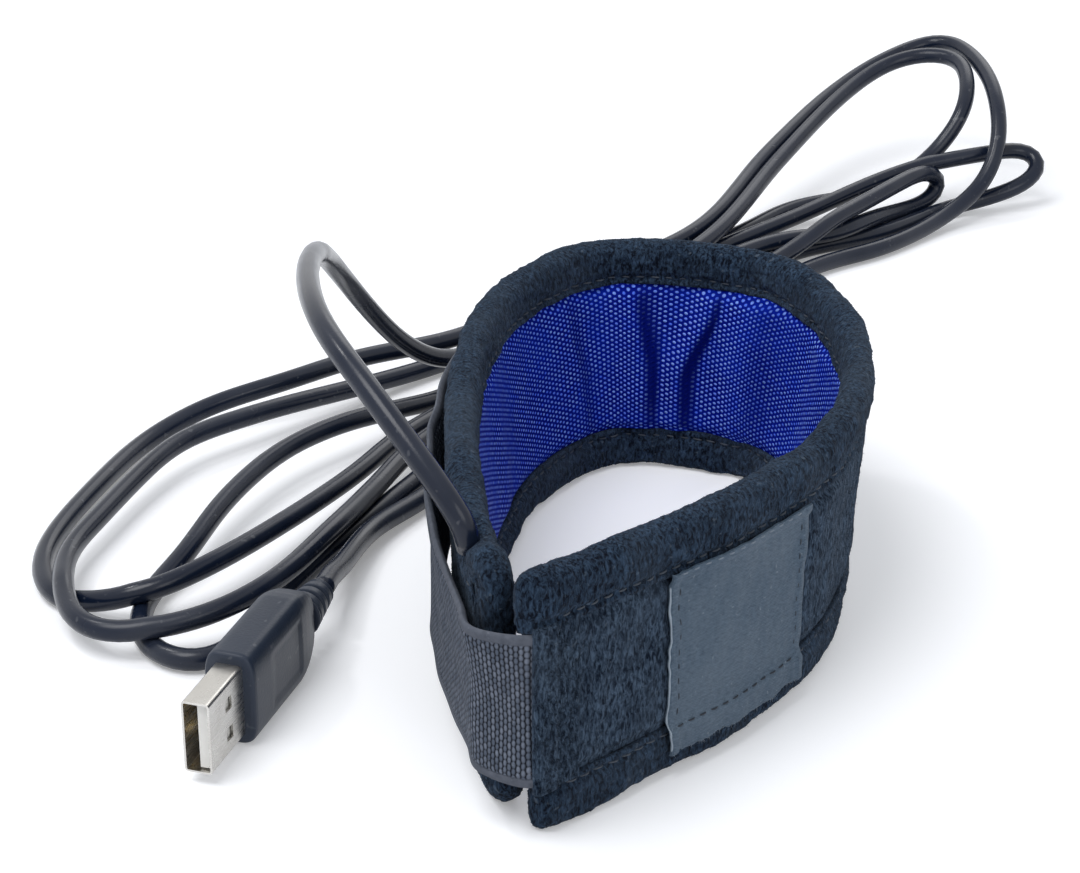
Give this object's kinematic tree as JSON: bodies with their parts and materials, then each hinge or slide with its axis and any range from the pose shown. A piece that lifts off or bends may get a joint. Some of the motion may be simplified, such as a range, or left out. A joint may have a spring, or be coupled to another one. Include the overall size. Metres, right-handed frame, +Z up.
{
  "type": "telescope dew heater strip",
  "caption": "Padded, lined heating band that wraps round a lens tube and is held shut by an elastic strap, with a long thin lead that ends in a USB plug.",
  "frame": {"origin": "on the ground under the middle of the band's box, where the band stands on its long edge", "axes": "+Z up along the band's height, +Y along the open loop's length from the strap's side to the back, +X to the right, with the label on the outside at the front right"},
  "size_m": [0.2101, 0.3099, 0.0645],
  "materials": {
    "velour": "near-black blue-grey brushed pile",
    "nylon": "royal blue coarse woven nylon, slightly shiny",
    "felt": "undyed needled felt",
    "elastic": "ribbed woven elastic, grey-black",
    "satin": "dark slate satin weave, bare",
    "hooks": "matt black plastic",
    "cord": "satin black flexible vinyl",
    "steel": "plated sheet steel",
    "insulator": "white moulded insulator",
    "gilt": "gold plated spring contact",
    "copper": "enamelled and bare copper alloy wire"
  },
  "bodies": {
    "root": {"outer_fabric": "velour", "lining": "nylon", "insulation_pad": "felt", "heater_carrier": "felt", "top_binding": "velour", "bottom_binding": "velour", "cable_end_binding": "velour", "front_end_hem": "velour", "label_patch": "satin", "elastic_strap": "elastic", "hook_patch": "hooks", "heater_wire": "copper", "splice_sleeve_1": "hooks", "splice_sleeve_2": "hooks", "lead_core_1": "copper", "lead_core_2": "copper", "cable": "cord", "cable_plug_end": "cord", "cable_hank": "cord", "cable_raised_turns": "cord", "plug_shell": "steel", "plug_tongue": "insulator", "plug_contact_1": "gilt", "plug_contact_2": "gilt", "plug_contact_3": "gilt", "plug_contact_4": "gilt", "plug_overmould": "cord", "plug_strain_relief": "cord"}
  },
  "joints": []
}
